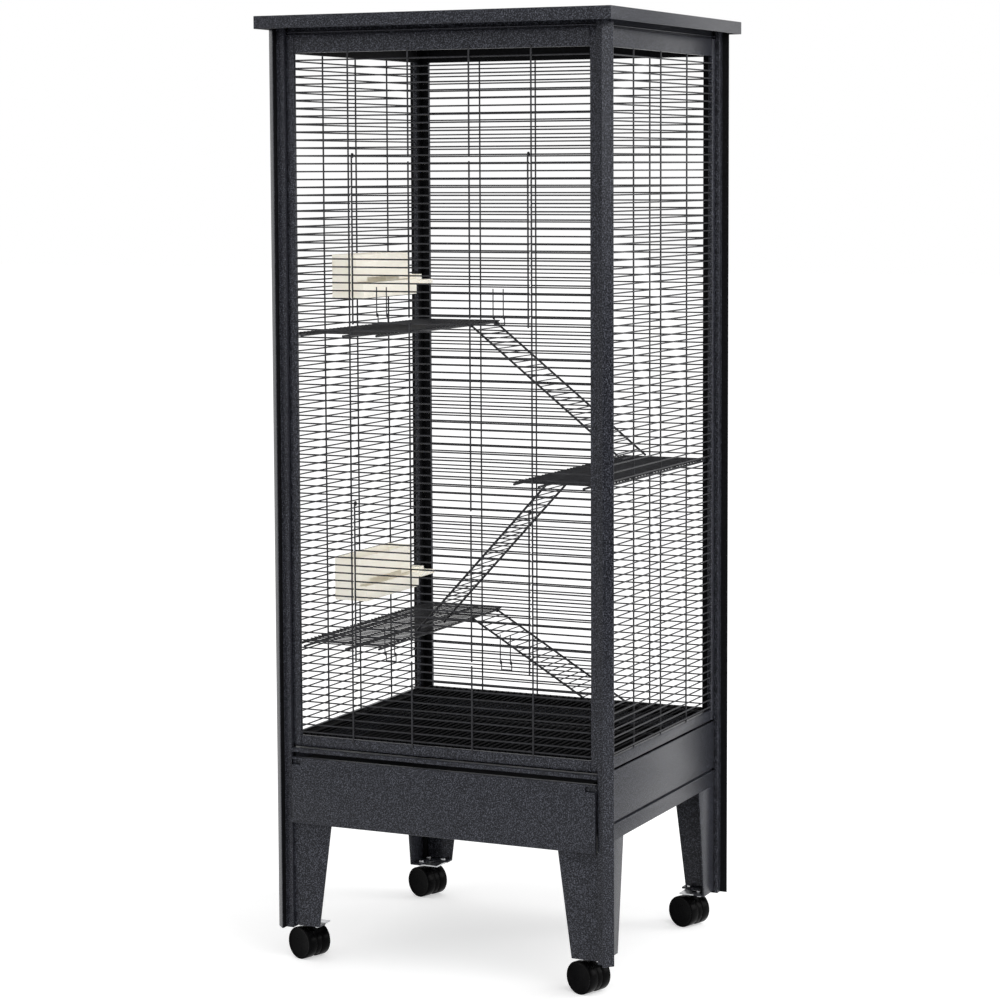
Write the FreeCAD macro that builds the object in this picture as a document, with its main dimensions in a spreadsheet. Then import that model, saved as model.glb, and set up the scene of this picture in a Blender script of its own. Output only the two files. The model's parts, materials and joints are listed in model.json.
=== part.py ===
import FreeCAD, Part
import os
import re
import Sketcher

doc = FreeCAD.newDocument("chinchilla_cage")

# Driving sizes in millimetres, floor at height 0, front towards -Y
SIZES = {
    # Corner posts and roof
    "post_half_x": 307, "post_half_y": 272, "post_size": 28, "post_wall": 1.5, "post_lip": 7,
    "ear_wall": 4.8, "ear_end": 1.2, "post_drop": 4,
    "roof_top": 1583.5, "roof_edge": 21, "roof_sheet": 1.5, "roof_over_x": 10, "roof_over_y": 20,
    # Wire panels
    "panel_inset": 19.5, "web_inset": 5, "web_ledge": 2.5, "web_ledge_inset": 0.5,
    "frame_depth": 8, "stile_width": 14.5, "frame_low": 369.5, "low_rail": 18,
    "top_rail": 30, "frame_drop": 30, "row_gap": 6, "row_pitch": 13, "row_wire": 2.5,
    "upright_wire": 3, "upright_lap": 4, "door_bay_share": 0.62, "side_bar_share": 0.515,
    # Doors hung on panel wires, counted in rows
    "upper_hinge_row": 74, "upper_door_rows": 20, "lower_hinge_row": 30, "lower_door_rows": 19,
    "door_side_gap": 3, "door_wire": 3, "door_tail": 16, "running_gap": 0.1,
    # Door clips, placed from the door's side edges
    "clip_wire": 2, "clip_half_span": 9, "clip_rise": 46, "clip_drop": 17, "clip_catch_gap": 0.15,
    "upper_clip_in": 54.5, "lower_left_clip_in": 64.5, "lower_right_clip_in": 44.5,
    # Wire platforms
    "deck_rod": 4, "deck_wire": 2, "deck_wall_gap": 5.5, "platform_width": 150, "deck_end_gap": 6,
    "bearer_clear": 12, "bearer_end": 10.5, "bearer_lap": 4, "deck_wire_pitch": 13, "deck_margin": 2,
    "deck_wire_over": 3,
    "upper_deck_row": 51, "middle_deck_row": 33, "lower_deck_row": 11,
    # Climbing ramps, with their rods in numbered gaps between deck wires
    "ramp_rod": 4, "ramp_wire": 2, "ramp_ring_wall": 2.4, "ramp_foot": 1.8, "rung_pitch": 13,
    "upper_ramp_lap": 41, "middle_ramp_lap": 12, "lower_ramp_lap": 1,
    "high_ramp_near": 9, "high_ramp_far": 17, "mid_ramp_near": -6, "mid_ramp_far": 2,
    # Hanging feeders
    "feeder_gap": 2, "feeder_depth": 47, "feeder_front": -98, "feeder_length": 252,
    "feeder_height": 74, "feeder_wall": 2.5, "trough_depth": 14, "trough_height": 26,
    "perch_length": 52, "perch_thick": 7, "perch_below": 2, "perch_over": 6,
    "nub_length": 20, "nub_rise": 10,
    "nub_depth": 12, "window_inset": 40, "window_rise": 8,
    "lug_width": 14, "lug_thick": 2.2, "lug_hook": 6,
    "lug_gap": 0.6, "lug_inset": 60, "lug_below_top": 14, "upper_feeder_row": 60, "lower_feeder_row": 20,
    # Base box
    "skirt_sheet": 1.5, "skirt_gap": 3, "skirt_height": 115, "bead_rise": 29, "bead_width": 4,
    "bead_depth": 5, "lip_height": 2, "lip_proud": 1.2, "sill_height": 7, "sill_depth": 18,
    "ledge_reach": 14, "ledge_sheet": 2,
    "ledge_rise": 14, "grate_gap": 2.5, "grate_end_gap": 4, "grate_bar": 4, "grate_wire": 2.5,
    "grate_pitch": 12, "grate_margin": 4, "grate_bar_inset": 20,
    # Drawer
    "drawer_top_gap": 8, "drawer_height": 112, "drawer_gap": 1.5, "drawer_front_inset": 6,
    "drawer_front_thick": 12, "slot_width": 18, "slot_height": 9, "slot_below": 3, "slot_depth": 8,
    "tray_side_gap": 17, "tray_end_gap": 8, "tray_below": 3, "tray_sheet": 1.5,
    "runner_lift": 12, "runner_reach": 36, "runner_sheet": 2, "runner_rise": 30, "runner_end_gap": 4,
    # Legs and casters
    "leg_sheet": 2, "leg_top_width": 72, "leg_foot_width": 48, "leg_top_gap": 2, "leg_recess": 17,
    "sole_thick": 3, "sole_reach": 20, "caster_in_x": 21, "caster_in_y": 18, "caster_turn": -20,
    "caster_head": 7, "plate_gap": 0.5, "plate_thick": 2.5, "bolt_offset": 15, "bolt_neck": 5,
    "bolt_head": 4.6, "bolt_head_thick": 1.6, "nut_thick": 3, "bolt_gap": 0.05, "stem_radius": 4.8,
    "stem_top_gap": 0.3, "wheel_radius": 27.5, "wheel_width": 17.5, "wheel_gap": 0.5, "hub_width": 10.5,
    "hub_low": 7,
    "axle_radius": 3, "axle_seat": 1, "trail": 12,
}

sheet = doc.addObject("Spreadsheet::Sheet", "Sizes")
for number, (word, value) in enumerate(SIZES.items(), start=1):
    sheet.set(f"A{number}", word)
    sheet.set(f"B{number}", str(value))
    sheet.setAlias(f"B{number}", word)
doc.recompute()

PARTS = []


def expr(text):
    """Turn a formula in size words into a sheet expression."""
    return re.sub(r"[a-z_]+", lambda word: f"Sizes.{word[0]}" if word[0] in SIZES else word[0], text)


def value(formula):
    """Number that a formula in size words stands for."""
    probe = sheet.evalExpression(expr(formula))
    return float(getattr(probe, "Value", probe))


def new_body(name):
    body = doc.addObject("PartDesign::Body", name)
    body.Label = name
    PARTS.append(body)
    return body


def set_place(feature, corner):
    for axis, formula in zip("xyz", corner):
        feature.setExpression(f".Placement.Base.{axis}", expr(formula))


def box(body, name, x_span, y_span, z_span, cut=False):
    """Add or remove a block that spans from the first to the second formula on each axis."""
    kind = "SubtractiveBox" if cut else "AdditiveBox"
    feature = body.newObject(f"PartDesign::{kind}", name)
    for side, (low, high) in zip(("Length", "Width", "Height"), (x_span, y_span, z_span)):
        feature.setExpression(side, expr(f"({high}) - ({low})"))
    set_place(feature, (x_span[0], y_span[0], z_span[0]))
    body.Tip = feature
    return feature


TURNS = {
    "x": FreeCAD.Rotation(FreeCAD.Vector(0, 1, 0), 90),
    "y": FreeCAD.Rotation(FreeCAD.Vector(1, 0, 0), -90),
    "z": FreeCAD.Rotation(),
}


def rod(body, name, axis, start, length, radius, cut=False):
    """Add or remove a round bar from a start point along the x, y or z axis."""
    kind = "SubtractiveCylinder" if cut else "AdditiveCylinder"
    feature = body.newObject(f"PartDesign::{kind}", name)
    feature.Placement = FreeCAD.Placement(FreeCAD.Vector(), TURNS[axis])
    feature.setExpression("Radius", expr(radius))
    feature.setExpression("Height", expr(length))
    set_place(feature, start)
    body.Tip = feature
    return feature


def prism(body, name, axis, start, length, radius, sides):
    """Add a bar with flat sides along the x, y or z axis."""
    feature = body.newObject("PartDesign::AdditivePrism", name)
    feature.Placement = FreeCAD.Placement(FreeCAD.Vector(), TURNS[axis])
    feature.Polygon = sides
    feature.setExpression("Circumradius", expr(radius))
    feature.setExpression("Height", expr(length))
    set_place(feature, start)
    body.Tip = feature
    return feature


def outline(body, name, role, loops):
    """Sketch of straight-sided loops on an origin plane, each corner placed by two formulas."""
    sketch = body.newObject("Sketcher::SketchObject", name)
    support = [item for item in body.Origin.OriginFeatures if item.Role == role]
    sketch.AttachmentSupport = [(support[0], "")]
    sketch.MapMode = "FlatFace"
    for corners in loops:
        first = sketch.GeometryCount
        count = len(corners)
        points = [FreeCAD.Vector(value(across_), value(up), 0) for across_, up in corners]
        for start, end in zip(points, points[1:] + points[:1]):
            sketch.addGeometry(Part.LineSegment(start, end), False)
        for index in range(count):
            after = first + (index + 1) % count
            sketch.addConstraint(Sketcher.Constraint("Coincident", first + index, 2, after, 1))
        for index, corner_place in enumerate(corners):
            for kind, formula in zip(("DistanceX", "DistanceY"), corner_place):
                rule = Sketcher.Constraint(kind, -1, 1, first + index, 1, value(formula))
                number = sketch.addConstraint(rule)
                sketch.setExpression(f"Constraints[{number}]", expr(formula))
    return sketch


def pad(body, name, sketch, offset, length):
    """Raise a sketch into a solid, starting at an offset from its plane."""
    sketch.setExpression(".AttachmentOffset.Base.z", expr(offset))
    feature = body.newObject("PartDesign::Pad", name)
    feature.Profile = sketch
    feature.setExpression("Length", expr(length))
    body.Tip = feature
    return feature


def repeat(body, name, feature, axis, count, pitch):
    """Repeat one feature along an axis of its body."""
    pattern = body.newObject("PartDesign::LinearPattern", name)
    pattern.Originals = [feature]
    direction = [item for item in body.Origin.OriginFeatures if item.Role == f"{axis}_Axis"]
    pattern.Direction = (direction[0], [""])
    pattern.Mode = "Spacing"
    pattern.setExpression("Offset", expr(pitch))
    pattern.setExpression("Occurrences", expr(count))
    body.Tip = pattern
    return pattern


def span(sign, near, far):
    """Formulas from near to far, mirrored through zero where the sign is negative."""
    if sign > 0:
        return near, far
    return f"-({far})", f"-({near})"


# Places that follow from the driving sizes
PANEL_X = "(post_half_x - panel_inset)"
PANEL_Y = "(post_half_y - panel_inset)"
INSIDE_X = "(post_half_x - post_size)"
INSIDE_Y = "(post_half_y - post_size)"
LEDGE_X = f"({PANEL_X} - frame_depth)"
ROOF_UNDER = "(roof_top - roof_sheet)"
FRAME_HIGH = "(roof_top - frame_drop)"
TOP_RAIL_LOW = f"({FRAME_HIGH} - top_rail)"
ROW_FIRST = "(frame_low + low_rail + row_gap)"
ROW_COUNT = f"(floor(({TOP_RAIL_LOW} - {ROW_FIRST} - row_wire) / row_pitch) + 1)"
WIRE_HALF = f"({INSIDE_X} - stile_width)"
UPRIGHT_OUTER = f"({WIRE_HALF} * door_bay_share)"
UPRIGHT_INNER = f"({UPRIGHT_OUTER} / 3)"
SIDE_UPRIGHT = f"(({INSIDE_Y} - stile_width) * side_bar_share)"
DOOR_HALF = f"({UPRIGHT_OUTER} - upright_wire / 2 - door_side_gap)"
DECK_WALL = f"({LEDGE_X} - deck_wall_gap)"
DECK_EDGE = f"({DECK_WALL} - platform_width)"
DECK_DEPTH = f"({INSIDE_Y} - deck_end_gap)"
SKIRT_HIGH = "(frame_low - skirt_gap)"
SKIRT_LOW = f"({SKIRT_HIGH} - skirt_height)"
SILL_LOW = f"({SKIRT_HIGH} - sill_height)"
DRAWER_HIGH = f"({SILL_LOW} - drawer_top_gap)"
DRAWER_LOW = f"({DRAWER_HIGH} - drawer_height)"
RUNNER_TOP = f"({SKIRT_LOW} + runner_lift)"
GRATE_LOW = "(frame_low + ledge_rise)"
POST_FOOT = "(2 * wheel_radius + caster_head)"


# Roof: a flat sheet with a turned-down edge
roof = new_body("roof_panel")
roof_x = "post_half_x + roof_over_x"
roof_y = "post_half_y + roof_over_y"
box(roof, "roof_block", (f"-({roof_x})", roof_x), (f"-({roof_y})", roof_y),
    ("roof_top - roof_edge", "roof_top"))
inner_x = f"{roof_x} - roof_sheet"
inner_y = f"{roof_y} - roof_sheet"
box(roof, "roof_hollow", (f"-({inner_x})", inner_x), (f"-({inner_y})", inner_y),
    ("roof_top - roof_edge - 1", ROOF_UNDER), cut=True)

CORNERS = {
    "front_left": (-1, -1), "front_right": (1, -1), "rear_left": (-1, 1), "rear_right": (1, 1),
}


# Corner posts: a folded tube with a lip over each panel and a hollow ear across the corner
LIP_X = f"({PANEL_X} + post_lip)"
LIP_Y = f"({PANEL_Y} + post_lip)"
EAR_X = f"({PANEL_X} + ear_wall)"
EAR_Y = f"({PANEL_Y} + ear_wall)"
EAR_INNER_X = f"({EAR_X} + post_wall)"
EAR_INNER_Y = f"({EAR_Y} + post_wall)"
EAR_TIP = "(ear_end - (1 + sqrt(2)) * post_wall)"
POST_OUTLINE = [
    (INSIDE_X, INSIDE_Y), (LIP_X, INSIDE_Y), (LIP_X, EAR_Y), ("post_half_x", EAR_Y),
    ("post_half_x", f"{EAR_Y} + ear_end"), (f"{EAR_X} + ear_end", "post_half_y"), (EAR_X, "post_half_y"),
    (EAR_X, LIP_Y), (INSIDE_X, LIP_Y),
]
POST_BORE = [
    (f"{INSIDE_X} + post_wall", f"{INSIDE_Y} + post_wall"),
    (f"{LIP_X} - post_wall", f"{INSIDE_Y} + post_wall"),
    (f"{LIP_X} - post_wall", f"{LIP_Y} - post_wall"), (f"{INSIDE_X} + post_wall", f"{LIP_Y} - post_wall"),
]
EAR_BORE = [
    (EAR_INNER_X, EAR_INNER_Y), (f"post_half_x + {EAR_TIP}", EAR_INNER_Y),
    (EAR_INNER_X, f"post_half_y + {EAR_TIP}"),
]
POST_LOW = f"({POST_FOOT} - post_drop)"
for corner, (sx, sy) in CORNERS.items():
    post = new_body(f"post_{corner}")
    loops = [[(f"{sx} * ({x})", f"{sy} * ({y})") for x, y in loop]
             for loop in (POST_OUTLINE, POST_BORE, EAR_BORE)]
    profile = outline(post, f"{corner}_profile", "XY_Plane", loops)
    pad(post, f"{corner}_tube", profile, POST_LOW, f"{ROOF_UNDER} - {POST_LOW}")


def across(side, along, depth):
    """Put a span along a panel and a span through its thickness into x and y."""
    axis, sign = SIDES[side]
    through = span(sign, *depth)
    return (along, through) if axis == "y" else (through, along)


SIDES = {"front": ("y", -1), "rear": ("y", 1), "left": ("x", -1), "right": ("x", 1)}
FRAME_HALF = {"front": INSIDE_X, "rear": INSIDE_X, "left": INSIDE_Y, "right": INSIDE_Y}
FACE = {"front": PANEL_Y, "rear": PANEL_Y, "left": PANEL_X, "right": PANEL_X}
UPRIGHTS = {
    "front": (f"-{UPRIGHT_OUTER}", f"-{UPRIGHT_INNER}", UPRIGHT_INNER, UPRIGHT_OUTER),
    "rear": (f"-{UPRIGHT_OUTER}", f"-{UPRIGHT_INNER}", UPRIGHT_INNER, UPRIGHT_OUTER),
    "left": (f"-{SIDE_UPRIGHT}", "0", SIDE_UPRIGHT),
    "right": (f"-{SIDE_UPRIGHT}", "0", SIDE_UPRIGHT),
}
DOORS = {"upper": ("upper_hinge_row", "upper_door_rows"), "lower": ("lower_hinge_row", "lower_door_rows")}


def row_height(row):
    return f"({ROW_FIRST} + row_pitch * ({row}))"


# Wire panels: frame stiles, frame rails, cross wires and uprights
for side, half in FRAME_HALF.items():
    face = FACE[side]
    depth = (f"{face} - frame_depth", face)
    opening = f"({half} - stile_width)"
    stiles = new_body(f"{side}_panel_stiles")
    for tag, sign in (("a", -1), ("b", 1)):
        box(stiles, f"{side}_stile_{tag}", *across(side, span(sign, opening, half), depth),
            ("frame_low", FRAME_HIGH))
    rails = new_body(f"{side}_panel_rails")
    middle = (f"-{opening}", opening)
    box(rails, f"{side}_low_rail", *across(side, middle, depth), ("frame_low", "frame_low + low_rail"))
    box(rails, f"{side}_top_rail", *across(side, middle, depth), (TOP_RAIL_LOW, FRAME_HIGH))
    web_face = f"({face} - web_inset)"
    whole = (f"-{half}", half)
    box(rails, f"{side}_top_web", *across(side, whole, (f"{face} - frame_depth", web_face)),
        (FRAME_HIGH, ROOF_UNDER))
    box(rails, f"{side}_top_ledge", *across(side, whole, (web_face, f"{face} - web_ledge_inset")),
        (f"{FRAME_HIGH} + web_ledge", f"{FRAME_HIGH} + 2 * web_ledge"))

    wires = new_body(f"{side}_cross_wires")
    wire_depth = (f"{face} - row_wire", face)
    wire = box(wires, f"{side}_row", *across(side, middle, wire_depth),
               (f"{ROW_FIRST} - row_wire / 2", f"{ROW_FIRST} + row_wire / 2"))
    repeat(wires, f"{side}_rows", wire, "Z", ROW_COUNT, "row_pitch")

    bars = new_body(f"{side}_upright_wires")
    if side == "front":
        bar_depth = (face, f"{face} + upright_wire")
        bar_height = ("frame_low + low_rail - upright_lap", f"{TOP_RAIL_LOW} + upright_lap")
    else:
        bar_depth = (f"{face} - row_wire - upright_wire", f"{face} - row_wire")
        bar_height = ("frame_low + low_rail", TOP_RAIL_LOW)
    for number, place in enumerate(UPRIGHTS[side]):
        along = (f"{place} - upright_wire / 2", f"{place} + upright_wire / 2")
        box(bars, f"{side}_bar_{number}", *across(side, along, bar_depth), bar_height)
    if side == "front":
        # Door openings and the rows that become hinge wires
        door_side = f"({UPRIGHT_OUTER} - upright_wire / 2)"
        cut_depth = (f"{face} - row_wire - 1", f"{face} + upright_wire + 1")
        for door, (hinge, rows) in DOORS.items():
            low = row_height(f"{hinge} - {rows} - 0.5")
            high = row_height(f"{hinge} - 0.5")
            box(wires, f"{door}_door_opening", *across(side, (f"-{door_side}", door_side), cut_depth),
                (low, high), cut=True)
            box(wires, f"{door}_hinge_row", *across(side, (f"-{half}", half), cut_depth),
                (high, row_height(f"{hinge} + 0.5")), cut=True)
            middle_bar = f"({UPRIGHT_INNER} + upright_wire)"
            box(bars, f"{door}_bar_opening", *across(side, (f"-{middle_bar}", middle_bar), cut_depth),
                (f"{low} - 2.5", f"{row_height(hinge)} - 3"), cut=True)

# Round panel wires that the doors hang on
WIRE_Y = f"(-({PANEL_Y}) + row_wire / 2)"
hinge_wires = new_body("door_hinge_wires")
for door, (hinge, rows) in DOORS.items():
    rod(hinge_wires, f"{door}_hinge_wire", "x", (f"-{WIRE_HALF}", WIRE_Y, row_height(hinge)),
        f"2 * {WIRE_HALF}", "row_wire / 2")

# Doors: cross wires, then edge wires that end in eyes round the hinge wire
DOOR_BACK = f"({WIRE_Y} - row_wire / 2 - running_gap)"
DOOR_WIRE_Y = f"({DOOR_BACK} + row_wire / 2)"
EDGE_FRONT = f"({DOOR_BACK} - door_wire)"
CLIPS = {
    "upper": (f"(upper_clip_in - {DOOR_HALF})", f"({DOOR_HALF} - upper_clip_in)"),
    "lower": (f"(lower_left_clip_in - {DOOR_HALF})", f"({DOOR_HALF} - lower_right_clip_in)"),
}
for door, (hinge, rows) in DOORS.items():
    bottom = row_height(f"{hinge} - {rows}")
    grid = new_body(f"{door}_door_cross_wires")
    row = box(grid, f"{door}_door_row", (f"-{DOOR_HALF}", DOOR_HALF),
              (DOOR_BACK, f"{DOOR_BACK} + row_wire"),
              (f"{bottom} + row_pitch - row_wire / 2", f"{bottom} + row_pitch + row_wire / 2"))
    repeat(grid, f"{door}_door_rows_up", row, "Z", f"{rows} - 1", "row_pitch")
    rod(grid, f"{door}_door_bottom_wire", "x", (f"-{DOOR_HALF}", DOOR_WIRE_Y, bottom),
        f"2 * {DOOR_HALF}", "row_wire / 2")

    edges = new_body(f"{door}_door_edge_wires")
    for tag, sign in (("left", -1), ("right", 1)):
        edge_x = span(sign, f"{DOOR_HALF} - door_wire", DOOR_HALF)
        box(edges, f"{door}_{tag}_edge", edge_x, (EDGE_FRONT, DOOR_BACK),
            (f"{bottom} - door_tail", row_height(hinge)))
        prism(edges, f"{door}_{tag}_eye", "x", (edge_x[0], WIRE_Y, row_height(hinge)), "door_wire",
              "row_wire / 2 + running_gap + door_wire", 10)
        rod(edges, f"{door}_{tag}_eye_bore", "x", (f"{edge_x[0]} - 1", WIRE_Y, row_height(hinge)),
            "door_wire + 2", "row_wire / 2 + running_gap", cut=True)
        box(edges, f"{door}_{tag}_inner", span(sign, f"{UPRIGHT_INNER} - door_wire / 2",
            f"{UPRIGHT_INNER} + door_wire / 2"), (EDGE_FRONT, DOOR_BACK),
            (f"{bottom} - 3", row_height(f"{hinge} - 1") + " + 3"))

# Clips: bent wire that turns on the door's bottom wire and catches behind the panel wire
for door, places in CLIPS.items():
    hinge, rows = DOORS[door]
    pivot = row_height(f"{hinge} - {rows}")
    for hand, place in zip(("left", "right"), places):
        clip = new_body(f"{door}_door_clip_{hand}")
        eye_radius = "row_wire / 2 + running_gap + clip_wire"
        leg_y = f"({DOOR_WIRE_Y} - row_wire / 2 - running_gap - clip_wire)"
        catch_y = f"({WIRE_Y} + row_wire / 2 + clip_catch_gap)"
        for tag, sign in (("a", -1), ("b", 1)):
            leg_x = (f"{place} + {sign} * clip_half_span - clip_wire / 2",
                     f"{place} + {sign} * clip_half_span + clip_wire / 2")
            prism(clip, f"{door}_{hand}_eye_{tag}", "x", (leg_x[0], DOOR_WIRE_Y, pivot), "clip_wire",
                  eye_radius, 10)
            box(clip, f"{door}_{hand}_leg_{tag}", leg_x, (leg_y, f"{leg_y} + clip_wire"),
                (pivot, f"{pivot} + clip_rise"))
            box(clip, f"{door}_{hand}_shank_{tag}", leg_x, (catch_y, f"{catch_y} + clip_wire"),
                (f"{pivot} - clip_drop", pivot))
        box(clip, f"{door}_{hand}_catch",
            (f"{place} - clip_half_span - clip_wire / 2", f"{place} + clip_half_span + clip_wire / 2"),
            (catch_y, f"{catch_y} + clip_wire"), (f"{pivot} - clip_drop - clip_wire / 2",
                                                 f"{pivot} - clip_drop + clip_wire / 2"))
        rod(clip, f"{door}_{hand}_bore", "x", (f"{place} - 2 * clip_half_span", DOOR_WIRE_Y, pivot),
            "4 * clip_half_span", "row_wire / 2 + running_gap", cut=True)

# Platforms: bearer rods that lie on panel wires, a round edge rod, and deck wires across them
DECKS = {"upper": (-1, "upper_deck_row"), "middle": (1, "middle_deck_row"), "lower": (-1, "lower_deck_row")}
BEARERS = {
    "inner": (f"({UPRIGHT_OUTER} + bearer_clear)", f"({PANEL_Y} + bearer_lap)"),
    "outer": (f"({WIRE_HALF} - bearer_end)", f"({PANEL_Y} + bearer_lap)"),
    "wall": (DECK_WALL, DECK_DEPTH),
}
DECK_SIDE_COUNT = f"floor(({DECK_DEPTH} - deck_wire / 2 - deck_margin) / deck_wire_pitch)"
DECK_RISE = "(row_wire / 2 + deck_rod + deck_wire)"


def deck_rod_low(row):
    return f"({row_height(row)} + row_wire / 2)"


platform_rods = new_body("platform_rods")
for deck, (sign, row) in DECKS.items():
    low = deck_rod_low(row)
    rod(platform_rods, f"{deck}_edge_rod", "y",
        (f"{sign} * {DECK_EDGE}", f"-{DECK_DEPTH}", f"{low} + deck_rod / 2"),
        f"2 * {DECK_DEPTH}", "deck_rod / 2")
    for tag, (place, half) in BEARERS.items():
        box(platform_rods, f"{deck}_{tag}_rod",
            span(sign, f"{place} - deck_rod / 2", f"{place} + deck_rod / 2"),
            (f"-{half}", half), (low, f"{low} + deck_rod"))
    deck_wires = new_body(f"{deck}_platform_wires")
    first = f"(-deck_wire_pitch * {DECK_SIDE_COUNT})"
    wire = box(deck_wires, f"{deck}_deck_wire",
               span(sign, f"{DECK_EDGE} - deck_rod / 2 - deck_wire_over", f"{DECK_WALL} + deck_rod / 2"),
               (f"{first} - deck_wire / 2", f"{first} + deck_wire / 2"),
               (f"{low} + deck_rod", f"{low} + deck_rod + deck_wire"))
    repeat(deck_wires, f"{deck}_deck_wires", wire, "Y", f"2 * {DECK_SIDE_COUNT} + 1", "deck_wire_pitch")

# Floor grate on two side ledges
GRATE_X = f"({LEDGE_X} - grate_gap)"
GRATE_Y = f"({INSIDE_Y} - grate_end_gap)"
GRATE_TOP = f"({GRATE_LOW} + grate_bar + grate_wire)"
GRATE_SIDE_COUNT = f"floor(({GRATE_X} - grate_margin) / grate_pitch)"
grate_bars = new_body("floor_grate_bars")
for tag, place in (("front", f"(grate_bar_inset - {GRATE_Y})"), ("middle", "0"),
                   ("rear", f"({GRATE_Y} - grate_bar_inset)")):
    box(grate_bars, f"{tag}_grate_bar", (f"-{GRATE_X}", GRATE_X),
        (f"{place} - grate_bar / 2", f"{place} + grate_bar / 2"), (GRATE_LOW, f"{GRATE_LOW} + grate_bar"))
grate_wires = new_body("floor_grate_wires")
first = f"(-grate_pitch * {GRATE_SIDE_COUNT})"
wire = box(grate_wires, "grate_wire", (f"{first} - grate_wire / 2", f"{first} + grate_wire / 2"),
           (f"-{GRATE_Y}", GRATE_Y), (f"{GRATE_TOP} - grate_wire", GRATE_TOP))
repeat(grate_wires, "grate_wires", wire, "X", f"2 * {GRATE_SIDE_COUNT} + 1", "grate_pitch")

ledges = new_body("grate_ledges")
ledge_end = f"({INSIDE_Y} - stile_width)"
for tag, sign in (("left", -1), ("right", 1)):
    ledge_y = (f"-{ledge_end}", ledge_end)
    box(ledges, f"{tag}_ledge_top", span(sign, f"{LEDGE_X} - ledge_reach", LEDGE_X), ledge_y,
        (f"{GRATE_LOW} - ledge_sheet", GRATE_LOW))
    box(ledges, f"{tag}_ledge_web", span(sign, f"{LEDGE_X} - ledge_sheet", LEDGE_X), ledge_y,
        ("frame_low", GRATE_LOW))

# Ramps: side rods, rungs between them and eyes that turn on a platform's edge rod
RAMPS = {
    "upper": (
        1, "upper_deck_row", "upper_ramp_lap", f"{row_height('middle_deck_row')} + {DECK_RISE}", "high"),
    "middle": (
        -1, "middle_deck_row", "middle_ramp_lap", f"{row_height('lower_deck_row')} + {DECK_RISE}", "mid"),
    "lower": (1, "lower_deck_row", "lower_ramp_lap", GRATE_TOP, "high"),
}
for ramp, (sign, row, lap, landing, lane) in RAMPS.items():
    ladder = new_body(f"{ramp}_ramp")
    run = f"(2 * {DECK_EDGE} + {lap})"
    pivot = f"({deck_rod_low(row)} + deck_rod / 2)"
    drop = f"({pivot} - ({landing}) - ramp_foot)"
    length = f"hypot({run}; {drop})"
    near = f"(deck_wire_pitch * ({lane}_ramp_near + 0.5))"
    far = f"(deck_wire_pitch * ({lane}_ramp_far + 0.5))"
    for tag, place in (("near", near), ("far", far)):
        rod_y = (f"{place} - ramp_rod / 2", f"{place} + ramp_rod / 2")
        box(ladder, f"{ramp}_{tag}_rod", span(sign, "0", length), rod_y, ("-ramp_rod / 2", "ramp_rod / 2"))
        prism(ladder, f"{ramp}_{tag}_eye", "y", ("0", rod_y[0], "0"), "ramp_rod",
              "deck_rod / 2 + running_gap + ramp_ring_wall", 10)
    rung = box(
        ladder, f"{ramp}_rung", span(sign, "rung_pitch - ramp_wire / 2", "rung_pitch + ramp_wire / 2"),
               (f"{near} + ramp_rod / 2", f"{far} - ramp_rod / 2"), ("-ramp_wire / 2", "ramp_wire / 2"))
    rungs = repeat(ladder, f"{ramp}_rungs", rung, "X", f"floor({length} / rung_pitch - 0.3)", "rung_pitch")
    rungs.Reversed = sign < 0
    rod(ladder, f"{ramp}_eye_bore", "y", ("0", f"{near} - 2 * ramp_rod", "0"),
        f"{far} - {near} + 4 * ramp_rod", "deck_rod / 2 + running_gap", cut=True)
    ladder.Placement = FreeCAD.Placement(FreeCAD.Vector(), FreeCAD.Rotation(FreeCAD.Vector(0, 1, 0), 30))
    set_place(ladder, (f"-{sign} * {DECK_EDGE}", "0", pivot))
    ladder.setExpression(".Placement.Rotation.Angle", expr(f"{sign} * atan2({drop}; {run})"))

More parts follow.
